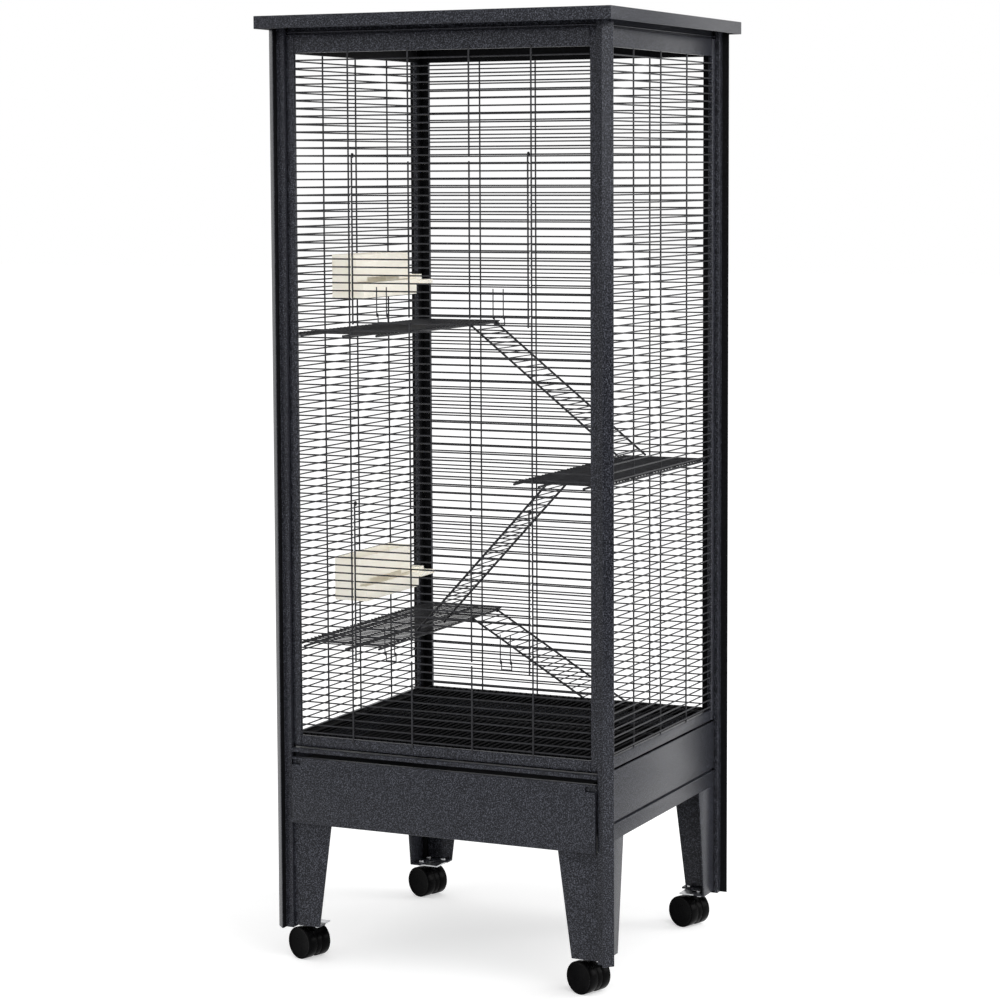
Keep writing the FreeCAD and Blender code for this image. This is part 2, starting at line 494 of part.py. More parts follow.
# Feeders: hopper, open trough, perch tongue and two lugs over a panel wire
for feeder, row in (("upper", "upper_feeder_row"), ("lower", "lower_feeder_row")):
    tub = new_body(f"{feeder}_feeder")
    seat = f"({row_height(row)} + row_wire / 2)"
    top = f"({seat} + lug_below_top)"
    low = f"({top} - feeder_height)"
    back = f"(row_wire + upright_wire + feeder_gap - {PANEL_X})"
    rear = "(feeder_front + feeder_length - perch_length)"
    front_x = f"({back} + feeder_depth)"
    trough_x = f"({front_x} + trough_depth)"
    inside_y = ("feeder_front + feeder_wall", f"{rear} - feeder_wall")
    box(tub, f"{feeder}_hopper", (back, front_x), ("feeder_front", rear), (low, top))
    box(tub, f"{feeder}_trough", (front_x, trough_x), ("feeder_front", rear),
        (low, f"{low} + trough_height"))
    perch_top = f"({low} + trough_height - perch_below)"
    box(tub, f"{feeder}_perch", (f"{front_x} - nub_depth", f"{trough_x} + perch_over"),
        (rear, f"{rear} + perch_length"), (f"{perch_top} - perch_thick", perch_top))
    box(tub, f"{feeder}_nub", (f"{front_x} - nub_depth", trough_x), (rear, f"{rear} + nub_length"),
        (perch_top, f"{perch_top} + nub_rise"))
    box(tub, f"{feeder}_hopper_hollow", (f"{back} + feeder_wall", f"{front_x} - feeder_wall"), inside_y,
        (f"{low} + feeder_wall", f"{top} + 1"), cut=True)
    box(tub, f"{feeder}_trough_hollow",
        (f"{front_x} - feeder_wall - 1", f"{trough_x} - feeder_wall"), inside_y,
        (f"{low} + feeder_wall", f"{low} + trough_height + 1"), cut=True)
    box(tub, f"{feeder}_window", (f"{front_x} - feeder_wall - 1", f"{front_x} + 1"),
        ("feeder_front + window_inset", f"{rear} - window_inset"),
        (f"{low} + trough_height - 1", f"{low} + trough_height + window_rise"), cut=True)
    hook_x = f"(-{PANEL_X} - lug_gap)"
    for tag, place in (("near", "feeder_front + lug_inset"), ("far", f"{rear} - lug_inset")):
        lug_y = (f"{place} - lug_width / 2", f"{place} + lug_width / 2")
        box(tub, f"{feeder}_{tag}_lug", (f"{hook_x} - lug_thick", back), lug_y,
            (seat, f"{seat} + lug_thick"))
        box(tub, f"{feeder}_{tag}_hook", (f"{hook_x} - lug_thick", hook_x), lug_y,
            (f"{seat} - lug_hook", f"{seat} + lug_thick"))

# Base box: three skirts with a pressed bead, and a sill over the drawer
for side in ("left", "right", "rear"):
    skirt = new_body(f"{side}_skirt")
    half = FRAME_HALF[side]
    face = FACE[side]
    whole = (f"-({half})", half)
    bead = f"({SKIRT_LOW} + bead_rise)"
    bead_low = f"({bead} - bead_width / 2)"
    bead_high = f"({bead} + bead_width / 2)"
    proud = (face, f"{face} + lip_proud")
    box(skirt, f"{side}_sheet", *across(side, whole, (f"{face} - skirt_sheet", face)),
        (SKIRT_LOW, SKIRT_HIGH))
    box(skirt, f"{side}_channel", *across(side, whole, (f"{face} - bead_depth - skirt_sheet", face)),
        (f"{bead_low} - skirt_sheet", f"{bead_high} + skirt_sheet"))
    box(skirt, f"{side}_bead_lip", *across(side, whole, proud), (f"{bead_low} - lip_height", bead_low))
    box(skirt, f"{side}_top_lip", *across(side, whole, proud), (f"{SKIRT_HIGH} - lip_height", SKIRT_HIGH))
    box(skirt, f"{side}_bead", *across(side, (f"-({half}) - 1", f"{half} + 1"),
        (f"{face} - bead_depth", f"{face} + lip_proud + 1")), (bead_low, bead_high), cut=True)
sill = new_body("front_sill")
box(sill, "sill_bar", (f"-({INSIDE_X})", INSIDE_X), (f"-({INSIDE_Y}) - sill_depth", f"-({INSIDE_Y})"),
    (SILL_LOW, SKIRT_HIGH))

# Drawer runners on the side skirts
RUNNER_X = f"({PANEL_X} - bead_depth - skirt_sheet)"
runners = new_body("drawer_runners")
for tag, sign in (("left", -1), ("right", 1)):
    run_y = (f"runner_end_gap - {INSIDE_Y}", f"{INSIDE_Y} - runner_end_gap")
    box(runners, f"{tag}_runner_shelf", span(sign, f"{RUNNER_X} - runner_reach", RUNNER_X), run_y,
        (f"{RUNNER_TOP} - runner_sheet", RUNNER_TOP))
    box(runners, f"{tag}_runner_web", span(sign, f"{RUNNER_X} - runner_sheet", RUNNER_X), run_y,
        (f"{RUNNER_TOP} - runner_sheet", f"{RUNNER_TOP} + runner_rise"))

# Drawer: a boxed front with two finger slots, and an open tray
drawer_half = f"({INSIDE_X} - drawer_gap)"
front_y = "(-post_half_y + drawer_front_inset)"
tray_front = f"({front_y} + drawer_front_thick)"
panel = new_body("drawer_front")
box(panel, "drawer_panel", (f"-{drawer_half}", drawer_half), (front_y, tray_front),
    (DRAWER_LOW, DRAWER_HIGH))
for tag, sign in (("left", -1), ("right", 1)):
    box(panel, f"{tag}_finger_slot", span(sign, f"{drawer_half} - slot_width", f"{drawer_half} + 1"),
        (f"{front_y} - 1", f"{front_y} + slot_depth"),
        (f"{DRAWER_HIGH} - slot_below - slot_height", f"{DRAWER_HIGH} - slot_below"), cut=True)
tray = new_body("drawer_tray")
tray_low = f"({RUNNER_TOP} + running_gap)"
tray_top = f"({DRAWER_HIGH} - tray_below)"
tray_half = f"({RUNNER_X} - runner_sheet - tray_side_gap)"
tray_rear = f"({INSIDE_Y} - tray_end_gap)"
box(tray, "tray_block", (f"-{tray_half}", tray_half), (tray_front, tray_rear), (tray_low, tray_top))
box(tray, "tray_hollow", (f"tray_sheet - {tray_half}", f"{tray_half} - tray_sheet"),
    (f"{tray_front} + tray_sheet", f"{tray_rear} - tray_sheet"),
    (f"{tray_low} + tray_sheet", f"{tray_top} + 1"),
    cut=True)


def taper(legs, name, corner, plane):
    """One tapered leg plate at a post."""
    sx, sy = corner
    front = plane == "front"
    sign = sx if front else sy
    edge = INSIDE_X if front else INSIDE_Y
    top = f"({DRAWER_LOW} - leg_top_gap)" if sy < 0 and front else SKIRT_LOW
    corners = [(edge, POST_FOOT), (edge, top), (f"{edge} - leg_top_width", top),
               (f"{edge} - leg_foot_width", POST_FOOT)]
    corners = [(f"{sign} * ({across_})", up) for across_, up in corners]
    sketch = outline(legs, f"{name}_outline", "XZ_Plane" if front else "YZ_Plane", [corners])
    face = LEG_Y if front else PANEL_X
    low, high = span(sy if front else sx, f"{face} - leg_sheet", face)
    pad(legs, name, sketch, f"-({high})" if front else low, "leg_sheet")


# Legs: two tapered plates at each post, turned in at the foot to take the caster plate
LEG_Y = "(post_half_y - leg_recess)"
SOLE = (POST_FOOT, f"{POST_FOOT} + sole_thick")
legs = new_body("corner_legs")
for corner, (sx, sy) in CORNERS.items():
    taper(legs, f"{corner}_leg_front", (sx, sy), "front")
    taper(legs, f"{corner}_leg_side", (sx, sy), "side")
    box(legs, f"{corner}_front_sole", span(sx, f"{INSIDE_X} - leg_foot_width", INSIDE_X),
        span(sy, f"{LEG_Y} - sole_reach", LEG_Y), SOLE)
    box(legs, f"{corner}_side_sole", span(sx, f"{PANEL_X} - sole_reach", PANEL_X),
        span(sy, f"{INSIDE_Y} - leg_foot_width", INSIDE_Y), SOLE)


# Caster plates, and square-necked bolts that hold them to the soles
plates = new_body("caster_plates")
bolts = new_body("caster_bolts")
CASTER_X = f"({INSIDE_X} - caster_in_x)"
CASTER_Y = f"({INSIDE_Y} - caster_in_y)"
PLATE_LOW = f"({POST_FOOT} - plate_thick)"
SOLE_TOP = f"({POST_FOOT} + sole_thick)"
PLATE_SIZE = "(2 * (caster_in_x - plate_gap))"
HOLE = "(bolt_neck + 2 * bolt_gap)"


def square(place, width):
    """Span of a width centred on a place."""
    return f"{place} - {width} / 2", f"{place} + {width} / 2"


for corner, (sx, sy) in CORNERS.items():
    plate_x = f"{sx} * {CASTER_X}"
    plate_y = f"{sy} * {CASTER_Y}"
    box(plates, f"{corner}_plate", square(plate_x, PLATE_SIZE), square(plate_y, PLATE_SIZE),
        (PLATE_LOW, POST_FOOT))
    rod(plates, f"{corner}_stem_hole", "z", (plate_x, plate_y, f"{PLATE_LOW} - 1"), "plate_thick + 2",
        "stem_radius + running_gap", cut=True)
    for number, (bx, by) in enumerate(((sx, sy), (-sx, sy), (sx, -sy))):
        bolt_x = f"({plate_x} + {bx} * bolt_offset)"
        bolt_y = f"({plate_y} + {by} * bolt_offset)"
        for body in (plates, legs):
            box(body, f"{corner}_{body.Name}_hole_{number}", square(bolt_x, HOLE), square(bolt_y, HOLE),
                (f"{PLATE_LOW} - 1", f"{SOLE_TOP} + 1"), cut=True)
        prism(bolts, f"{corner}_head_{number}", "z", (bolt_x, bolt_y, f"{PLATE_LOW} - bolt_head_thick"),
              "bolt_head_thick", "bolt_head", 6)
        box(bolts, f"{corner}_neck_{number}", square(bolt_x, "bolt_neck"), square(bolt_y, "bolt_neck"),
            (PLATE_LOW, SOLE_TOP))
        prism(bolts, f"{corner}_nut_{number}", "z", (bolt_x, bolt_y, SOLE_TOP), "nut_thick", "bolt_head", 6)

# Casters: a hub that swivels in its plate, and a pair of wheels on one axle
for corner, (sx, sy) in CORNERS.items():
    hood = new_body(f"caster_hood_{corner}")
    wheels = new_body(f"caster_wheels_{corner}")
    hub_x = "-trail"
    hub_z = "wheel_radius"
    wheel_in = "(hub_width / 2 + wheel_gap)"
    wheel_out = f"({wheel_in} + wheel_width)"
    prism(hood, f"{corner}_hub", "y", (hub_x, "-hub_width / 2", hub_z), "hub_width", "wheel_radius", 16)
    box(hood, f"{corner}_hub_cut", (f"{hub_x} - 2 * wheel_radius", f"{hub_x} + 2 * wheel_radius"),
        ("-hub_width", "hub_width"), ("-wheel_radius", "hub_low"), cut=True)
    rod(hood, f"{corner}_stem", "z", ("0", "0", hub_z),
        f"{POST_FOOT} - stem_top_gap - {hub_z}", "stem_radius")
    rod(hood, f"{corner}_axle_bore", "y", (hub_x, "-hub_width", hub_z), "2 * hub_width",
        "axle_radius + running_gap", cut=True)
    for tag, sign in (("inner", -1), ("outer", 1)):
        start = span(sign, wheel_in, wheel_out)[0]
        rod(wheels, f"{corner}_{tag}_wheel", "y", (hub_x, start, hub_z), "wheel_width", "wheel_radius")
    rod(wheels, f"{corner}_axle", "y", (hub_x, f"-{wheel_in} - axle_seat", hub_z),
        f"2 * ({wheel_in} + axle_seat)", "axle_radius")
    for body in (hood, wheels):
        body.Placement = FreeCAD.Placement(FreeCAD.Vector(), FreeCAD.Rotation(FreeCAD.Vector(0, 0, 1), 10))
        set_place(body, (f"{sx} * {CASTER_X}", f"{sy} * {CASTER_Y}", "0"))
        body.setExpression(".Placement.Rotation.Angle", expr("caster_turn"))

doc.recompute()

faults = []
for item in doc.Objects:
    if "Invalid" in item.State or "Error" in item.State:
        faults.append(f"{item.Name} {item.State}")
for part in PARTS:
    if part.Shape.isNull() or not part.Shape.isValid():
        faults.append(f"{part.Label} has no valid shape")
if faults:
    raise RuntimeError("; ".join(faults))

os.makedirs("parts", exist_ok=True)
for part in PARTS:
    part.Shape.exportStep(f"parts/{part.Label}.step")
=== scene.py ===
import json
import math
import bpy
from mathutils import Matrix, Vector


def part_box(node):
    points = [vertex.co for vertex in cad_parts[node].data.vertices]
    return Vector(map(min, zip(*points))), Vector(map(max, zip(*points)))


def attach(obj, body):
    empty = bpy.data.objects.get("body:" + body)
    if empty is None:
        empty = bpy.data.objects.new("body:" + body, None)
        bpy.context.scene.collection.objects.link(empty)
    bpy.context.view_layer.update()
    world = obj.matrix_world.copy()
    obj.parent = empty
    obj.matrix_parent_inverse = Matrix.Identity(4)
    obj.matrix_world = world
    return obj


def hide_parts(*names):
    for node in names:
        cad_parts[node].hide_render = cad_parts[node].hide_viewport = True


bl_info = {
    "name": "Chinchilla cage",
    "version": (1, 0, 0),
    "blender": (4, 5, 0),
    "location": "View3D > Sidebar > Cage",
    "description": "Dresses the chinchilla cage with round wires, coated sheet metal and moulded parts",
    "category": "Object",
}

import bmesh
import bpy
from mathutils import Matrix, Vector

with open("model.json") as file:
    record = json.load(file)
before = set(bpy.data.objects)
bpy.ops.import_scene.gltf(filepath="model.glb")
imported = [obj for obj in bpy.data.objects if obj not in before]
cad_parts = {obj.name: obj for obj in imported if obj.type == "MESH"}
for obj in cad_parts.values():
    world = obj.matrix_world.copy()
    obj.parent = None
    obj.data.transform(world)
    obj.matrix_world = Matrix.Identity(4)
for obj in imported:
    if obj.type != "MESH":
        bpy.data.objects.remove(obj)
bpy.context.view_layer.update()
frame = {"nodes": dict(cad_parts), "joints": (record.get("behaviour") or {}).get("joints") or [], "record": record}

BODY_OF = {node: body for body, nodes in frame["record"]["behaviour"]["bodies"].items()
           for node in nodes}
JOINTS = {joint["name"]: joint for joint in frame["joints"]}

# The four panels, each with the direction into the cage
INWARD = {
    "front": Vector((0, 1, 0)), "rear": Vector((0, -1, 0)),
    "left": Vector((1, 0, 0)), "right": Vector((-1, 0, 0)),
}
CORNERS = ("front_left", "front_right", "rear_left", "rear_right")

# Turns that lay an upright cylinder along the x, y or z axis
AXIS_TURN = ((0, math.pi / 2, 0), (math.pi / 2, 0, 0), (0, 0, 0))

# Tolerances, in metres or decimal places of a metre
MERGE = 1e-6
SAME_PLACE = 1e-5
SAME_HEIGHT = 1e-4
PLACES = 5

# Cosines that tell which way a face looks
LEANING = 0.5
SQUARE_ON = 0.9
EXACT = 0.99

# Angles, in degrees
FLAT_ANGLE = 0.5
EDGE_ANGLE = 30
SMOOTH_ANGLE = 40
WHEEL_SMOOTH_ANGLE = 35


class CageSizes(bpy.types.PropertyGroup):
    """Sizes of the visible shaping."""

    wire_sides: bpy.props.IntProperty(
        name="Wire sides", description="Flat sides round each wire", default=8, min=6)
    wire_end: bpy.props.FloatProperty(
        name="Wire end", description="Rounding of a cut wire end, as a share of its radius",
        default=0.4, subtype="FACTOR")
    sheet_round: bpy.props.FloatProperty(
        name="Sheet fold", description="Outer radius of a folded sheet edge",
        default=0.0012, unit="LENGTH")
    thin_round: bpy.props.FloatProperty(
        name="Thin edge", description="Rounding of a cut sheet edge", default=0.0004, unit="LENGTH")
    post_round: bpy.props.FloatProperty(
        name="Post edge", description="Outer radius of the rolled posts",
        default=0.0018, unit="LENGTH")
    feeder_round: bpy.props.FloatProperty(
        name="Feeder edge", description="Radius of the moulded feeder edges",
        default=0.0011, unit="LENGTH")
    hood_round: bpy.props.FloatProperty(
        name="Hood edge", description="Radius of the caster hoods' edges",
        default=0.001, unit="LENGTH")
    wheel_round: bpy.props.FloatProperty(
        name="Wheel edge", description="Radius of the wheels' edges", default=0.0009, unit="LENGTH")
    wheel_rim: bpy.props.FloatProperty(
        name="Wheel rim", description="Width of the rim round the sunk disc of a wheel",
        default=0.0035, unit="LENGTH")
    clip_radius: bpy.props.FloatProperty(
        name="Clip wire", description="Radius of the clips' wire", default=0.001, unit="LENGTH")
    rod_radius: bpy.props.FloatProperty(
        name="Ramp rod", description="Radius of a ramp's side rods", default=0.002, unit="LENGTH")
    rung_radius: bpy.props.FloatProperty(
        name="Rung", description="Radius of a ramp's rungs", default=0.001, unit="LENGTH")
    rung_pitch: bpy.props.FloatProperty(
        name="Rung pitch", description="Distance from rung to rung on a ramp",
        default=0.013, unit="LENGTH")
    grain: bpy.props.FloatProperty(
        name="Coat grain", description="Size of one speck in the coat",
        default=0.0018, unit="LENGTH")


class CageColours(bpy.types.PropertyGroup):
    """Colours of the finishes."""

    coat: bpy.props.FloatVectorProperty(
        name="Coat", description="Body of the speckled coat", subtype="COLOR",
        default=(0.0115, 0.012, 0.0160))
    speck: bpy.props.FloatVectorProperty(
        name="Speck", description="Light specks in the coat", subtype="COLOR",
        default=(0.110, 0.115, 0.140))
    # Colour of the painted shade inside the cage: the inward sides of the frames and posts, the posts' folds, the
    # tray and the grate
    shade: bpy.props.FloatVectorProperty(
        name="Shade", description="Thin coat on the sides that face inwards", subtype="COLOR",
        default=(0.004, 0.004, 0.0045))
    wire: bpy.props.FloatVectorProperty(
        name="Wire", description="Coat on the wires", subtype="COLOR",
        default=(0.017, 0.017, 0.0195))
    cream: bpy.props.FloatVectorProperty(
        name="Cream", description="Moulded feeders", subtype="COLOR", default=(0.95, 0.915, 0.81))
    black: bpy.props.FloatVectorProperty(
        name="Black", description="Moulded casters", subtype="COLOR",
        default=(0.0008, 0.0008, 0.001))
    zinc: bpy.props.FloatVectorProperty(
        name="Zinc", description="Plated steel", subtype="COLOR", default=(0.60, 0.61, 0.62))


def sizes():
    return bpy.context.scene.cage_sizes


def colours():
    return bpy.context.scene.cage_colours


# Selection and editing

def deselect():
    bpy.ops.object.select_all(action="DESELECT")


def only(obj):
    """Make one object the selected and active one."""
    deselect()
    obj.select_set(True)
    bpy.context.view_layer.objects.active = obj


def open_edit(obj):
    only(obj)
    bpy.ops.object.mode_set(mode="EDIT")


def close_edit():
    bpy.ops.object.mode_set(mode="OBJECT")


def pick_all():
    bpy.ops.mesh.select_all(action="SELECT")


def pick_faces(obj, test):
    """Select the faces that pass a test, in edit mode."""
    bpy.ops.mesh.select_mode(type="FACE")
    bpy.ops.mesh.select_all(action="DESELECT")
    work = bmesh.from_edit_mesh(obj.data)
    for face in work.faces:
        face.select_set(test(face))
    bmesh.update_edit_mesh(obj.data)


def apply_place():
    """Put the selected object's place, turn and scale into its mesh."""
    bpy.ops.object.transform_apply(location=True, rotation=True, scale=True)


def apply_modifier(obj, kind, **settings):
    """Add one modifier with its settings and apply it."""
    only(obj)
    bpy.ops.object.modifier_add(type=kind)
    modifier = obj.modifiers[-1]
    for word, setting in settings.items():
        setattr(modifier, word, setting)
    bpy.ops.object.modifier_apply(modifier=modifier.name)


def round_edges(obj, width, segments=2):
    """Round the sharp edges of a piece."""
    apply_modifier(obj, "BEVEL", width=width, segments=segments, limit_method="ANGLE",
                   angle_limit=math.radians(EDGE_ANGLE), use_clamp_overlap=True)


def repeat(obj, step, count):
    """Repeat a piece in an even row."""
    apply_modifier(obj, "ARRAY", use_relative_offset=False, use_constant_offset=True,
                   constant_offset_displace=step, count=count)


def join(objs, name):
    """Join objects into the first one and name it."""
    deselect()
    for obj in objs:
        obj.select_set(True)
    bpy.context.view_layer.objects.active = objs[0]
    if len(objs) > 1:
        bpy.ops.object.join()
    objs[0].name = name
    return objs[0]


def settle(obj, node, look, angle=SMOOTH_ANGLE):
    """Give a finished piece its shading, finish and body, and hide the CAD node that it stands for."""
    only(obj)
    apply_place()
    bpy.ops.object.shade_smooth_by_angle(angle=math.radians(angle))
    obj.data.materials.clear()
    obj.data.materials.append(look)
    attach(obj, BODY_OF[node])
    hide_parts(node)
    return obj


# Straight and bent wires

BEND_STEP = 25        # degrees of bend in one step of a bent wire
LEAST_BEND_STEPS = 4


def loose_boxes(node):
    """Lowest and highest corner of each separate solid in a CAD node."""
    work = bmesh.new()
    work.from_mesh(frame["nodes"][node].data)
    bmesh.ops.remove_doubles(work, verts=work.verts, dist=MERGE)
    boxes = []
    seen = set()
    for start in work.verts:
        if start in seen:
            continue
        seen.add(start)
        queue = [start]
        points = []
        while queue:
            vert = queue.pop()
            points.append(vert.co.copy())
            for edge in vert.link_edges:
                other = edge.other_vert(vert)
                if other not in seen:
                    seen.add(other)
                    queue.append(other)
        low = Vector([min(point[i] for point in points) for i in range(3)])
        high = Vector([max(point[i] for point in points) for i in range(3)])
        boxes.append((low, high))
    work.free()
    return boxes


def round_bar(low, high):
    """A round wire with eased ends that fills a box along its longest side."""
    size = high - low
    axis = max(range(3), key=lambda i: size[i])
    radius = min(size[i] for i in range(3) if i != axis) / 2
    deselect()
    bpy.ops.mesh.primitive_cylinder_add(
        vertices=sizes().wire_sides, radius=radius, depth=size[axis], location=(low + high) / 2,
        rotation=AXIS_TURN[axis])
    bar = bpy.context.object
    apply_place()
    open_edit(bar)
    pick_faces(bar, lambda face: abs(face.normal[axis]) > SQUARE_ON)
    bpy.ops.mesh.bevel(offset=radius * sizes().wire_end, segments=1, affect="EDGES")
    close_edit()
    return bar


def rounded(vector):
    return tuple(round(value, PLACES) for value in vector)


def even_runs(boxes):
    """Split boxes of one size into rows with an even step."""
    runs = []
    for box in sorted(boxes, key=lambda box: rounded(box[0])):
        if runs:
            run = runs[-1]
            step = box[0] - run[-1][0]
            if len(run) == 1 or (step - (run[1][0] - run[0][0])).length < SAME_PLACE:
                run.append(box)
                continue
        runs.append([box])
    return runs


def round_wires(node, look, name):
    """Round wires in place of each straight solid of a CAD node."""
    groups = {}
    for low, high in loose_boxes(node):
        groups.setdefault(rounded(high - low), []).append((low, high))
    bars = []
    for boxes in groups.values():
        for run in even_runs(boxes):
            bar = round_bar(*run[0])
            if len(run) > 1:
                repeat(bar, run[1][0] - run[0][0], len(run))
            bars.append(bar)
    return settle(join(bars, name), node, look)


def bent_wire(radius, start, moves):
    """A round wire drawn from a ring that is run straight or bent round a centre, first along z."""
    deselect()
    bpy.ops.mesh.primitive_circle_add(
        vertices=sizes().wire_sides, radius=radius, fill_type="NOTHING", location=start)
    wire = bpy.context.object
    apply_place()
    open_edit(wire)
    bpy.ops.mesh.select_mode(type="EDGE")
    pick_all()
    for kind, *how in moves:
        if kind == "run":
            bpy.ops.mesh.extrude_region_move(TRANSFORM_OT_translate={"value": how[0]})
        else:
            centre, axis, degrees = how
            steps = max(LEAST_BEND_STEPS, round(degrees / BEND_STEP))
            bpy.ops.mesh.spin(steps=steps, angle=math.radians(degrees), center=centre, axis=axis)
    pick_all()
    bpy.ops.mesh.fill_holes(sides=0)
    pick_all()
    bpy.ops.mesh.normals_make_consistent(inside=False)
    close_edit()
    return wire


# Copies of CAD nodes with eased edges

def cad_copy(node, name):
    """A merged copy of a CAD node with its flat faces made whole."""
    mesh = frame["nodes"][node].data.copy()
    obj = bpy.data.objects.new(name, mesh)
    bpy.context.scene.collection.objects.link(obj)
    open_edit(obj)
    pick_all()
    bpy.ops.mesh.remove_doubles(threshold=MERGE)
    bpy.ops.mesh.dissolve_limited(angle_limit=math.radians(FLAT_ANGLE))
    close_edit()
    return obj


def eased(node, width, look, name, segments=2):
    """A copy of a CAD node with rounded edges."""
    obj = cad_copy(node, name)
    round_edges(obj, width, segments)
    return settle(obj, node, look)


# Finishes

BLACK = (0, 0, 0)


def new_finish(name):
    """An empty node material with its shader, output and Object coordinates."""
    look = bpy.data.materials.new(name)
    look.use_nodes = True
    nodes = look.node_tree.nodes
    nodes.clear()
    shader = nodes.new("ShaderNodeBsdfPrincipled")
    output = nodes.new("ShaderNodeOutputMaterial")
    place = nodes.new("ShaderNodeTexCoord")
    look.node_tree.links.new(shader.outputs["BSDF"], output.inputs["Surface"])
    return look, shader, place.outputs["Object"]


def noise(look, place, scale, detail, roughness=0.5):
    node = look.node_tree.nodes.new("ShaderNodeTexNoise")
    node.inputs["Scale"].default_value = scale
    node.inputs["Detail"].default_value = detail
    node.inputs["Roughness"].default_value = roughness
    look.node_tree.links.new(place, node.inputs["Vector"])
    return node.outputs["Fac"]


def tones(look, factor, *stops):
    """Colours over a factor, from positions and colours."""
    node = look.node_tree.nodes.new("ShaderNodeValToRGB")
    band = node.color_ramp
    while len(band.elements) < len(stops):
        band.elements.new(0.5)
    for element, (position, colour) in zip(band.elements, stops):
        element.position = position
        element.color = (*colour, 1)
    look.node_tree.links.new(factor, node.inputs["Fac"])
    return node.outputs["Color"]


def spread(look, factor, low, high):
    """Map a factor from 0 to 1 onto a range."""
    node = look.node_tree.nodes.new("ShaderNodeMapRange")
    node.inputs["To Min"].default_value = low
    node.inputs["To Max"].default_value = high
    look.node_tree.links.new(factor, node.inputs["Value"])
    return node.outputs["Result"]


def bump(look, height, distance, strength):
    node = look.node_tree.nodes.new("ShaderNodeBump")
    node.inputs["Strength"].default_value = strength
    node.inputs["Distance"].default_value = distance
    look.node_tree.links.new(height, node.inputs["Height"])
    return node.outputs["Normal"]


def mixed(colour, other, share):
    return tuple(a + (b - a) * share for a, b in zip(colour, other))


def dress(look, shader, colour, roughness, normal, sheen=0.5):
    """Give a shader its colour, roughness and relief, and the strength of its sheen."""
    link = look.node_tree.links.new
    link(colour, shader.inputs["Base Color"])
    link(roughness, shader.inputs["Roughness"])
    link(normal, shader.inputs["Normal"])
    shader.inputs["Specular IOR Level"].default_value = sheen


def speckled_coat(name):
    """Anthracite powder coat with fine light specks."""
    look, shader, place = new_finish(name)
    coat, speck = colours().coat, colours().speck
    grain = noise(look, place, scale=1 / sizes().grain, detail=2.5, roughness=0.65)
    dress(look, shader,
          colour=tones(look, grain, (0.36, mixed(BLACK, coat, 0.25)), (0.50, coat),
                       (0.58, mixed(coat, speck, 0.35)), (0.68, speck)),
          roughness=spread(look, grain, low=0.36, high=0.22),
          normal=bump(look, grain, distance=0.0005, strength=0.45), sheen=0.205)
    shader.inputs["Specular Tint"].default_value = (0.93, 0.95, 1.0, 1.0)
    return look


def fold_shade(name):
    """Painted shade: a near-black coat, without the specks, for the sides that face inwards and the parts deep in
    the base.
    """
    look, shader, place = new_finish(name)
    shade = colours().shade
    cloud = noise(look, place, scale=300, detail=2.0)
    dress(look, shader,
          colour=tones(look, cloud, (0.35, mixed(BLACK, shade, 0.5)),
                       (0.75, mixed(shade, colours().coat, 0.4))),
          roughness=spread(look, cloud, low=0.6, high=0.75),
          normal=bump(look, cloud, distance=0.0002, strength=0.2), sheen=0.08)
    return look


def wire_coat(name):
    """Thin dark coat on the wires, with runs and a little unevenness."""
    look, shader, place = new_finish(name)
    wire = colours().wire
    cloud = noise(look, place, scale=90, detail=3.0)
    dress(look, shader,
          colour=tones(look, cloud, (0.3, mixed(BLACK, wire, 0.7)),
                       (0.7, mixed(wire, colours().speck, 0.12))),
          roughness=spread(look, cloud, low=0.34, high=0.52),
          normal=bump(look, noise(look, place, scale=1400, detail=1.0), distance=0.0001,
                      strength=0.3), sheen=0.24)
    return look


def cream_plastic(name):
    """Moulded cream plastic with a soft cloudiness."""
    look, shader, place = new_finish(name)
    cream, cloud_colour = colours().cream, (0.62, 0.53, 0.38)
    cloud = noise(look, place, scale=28, detail=3.0)
    dress(look, shader,
          colour=tones(look, cloud, (0.3, mixed(cream, cloud_colour, 0.16)), (0.7, cream)),
          roughness=spread(look, cloud, low=0.38, high=0.5),
          normal=bump(look, noise(look, place, scale=1800, detail=2.0), distance=0.00008,
                      strength=0.2))
    shader.inputs["Subsurface Weight"].default_value = 0.08
    shader.inputs["Subsurface Radius"].default_value = (0.004, 0.003, 0.002)
    return look


def black_plastic(name):
    """Satin black moulded plastic with a fine spark texture."""
    look, shader, place = new_finish(name)
    black, worn_colour = colours().black, (0.03, 0.03, 0.031)
    cloud = noise(look, place, scale=60, detail=3.0)
    dress(look, shader,
          colour=tones(look, cloud, (0.35, black), (0.75, mixed(black, worn_colour, 0.08))),
          roughness=spread(look, cloud, low=0.2, high=0.34),
          normal=bump(look, noise(look, place, scale=2200, detail=2.0), distance=0.0001,
                      strength=0.25), sheen=0.03)
    return look


def zinc_steel(name):
    """Zinc-plated steel with a faint spangle."""
    look, shader, place = new_finish(name)
    zinc, dull_colour = colours().zinc, (0.4, 0.41, 0.42)
    cloud = noise(look, place, scale=240, detail=2.0)
    dress(look, shader,
          colour=tones(look, cloud, (0.35, mixed(zinc, dull_colour, 0.5)), (0.65, zinc)),
          roughness=spread(look, cloud, low=0.24, high=0.42),
          normal=bump(look, cloud, distance=0.0001, strength=0.15))
    shader.inputs["Metallic"].default_value = 1.0
    return look


FINISH_MAKERS = {
    "coat": speckled_coat, "shade": fold_shade, "wire": wire_coat, "cream": cream_plastic,
    "black": black_plastic, "zinc": zinc_steel,
}


def finish(word):
    """The finish of that name, made the first time it is asked for."""
    maker = FINISH_MAKERS[word]
    name = f"{maker.__name__}_finish"
    return bpy.data.materials.get(name) or maker(name)


def shade_faces(obj, test):
    """Put the painted shade, a near-black coat, on the faces that pass a test."""
    obj.data.materials.append(finish("shade"))
    open_edit(obj)
    pick_faces(obj, test)
    obj.active_material_index = len(obj.data.materials) - 1
    bpy.ops.object.material_slot_assign()
    close_edit()


# Corner posts

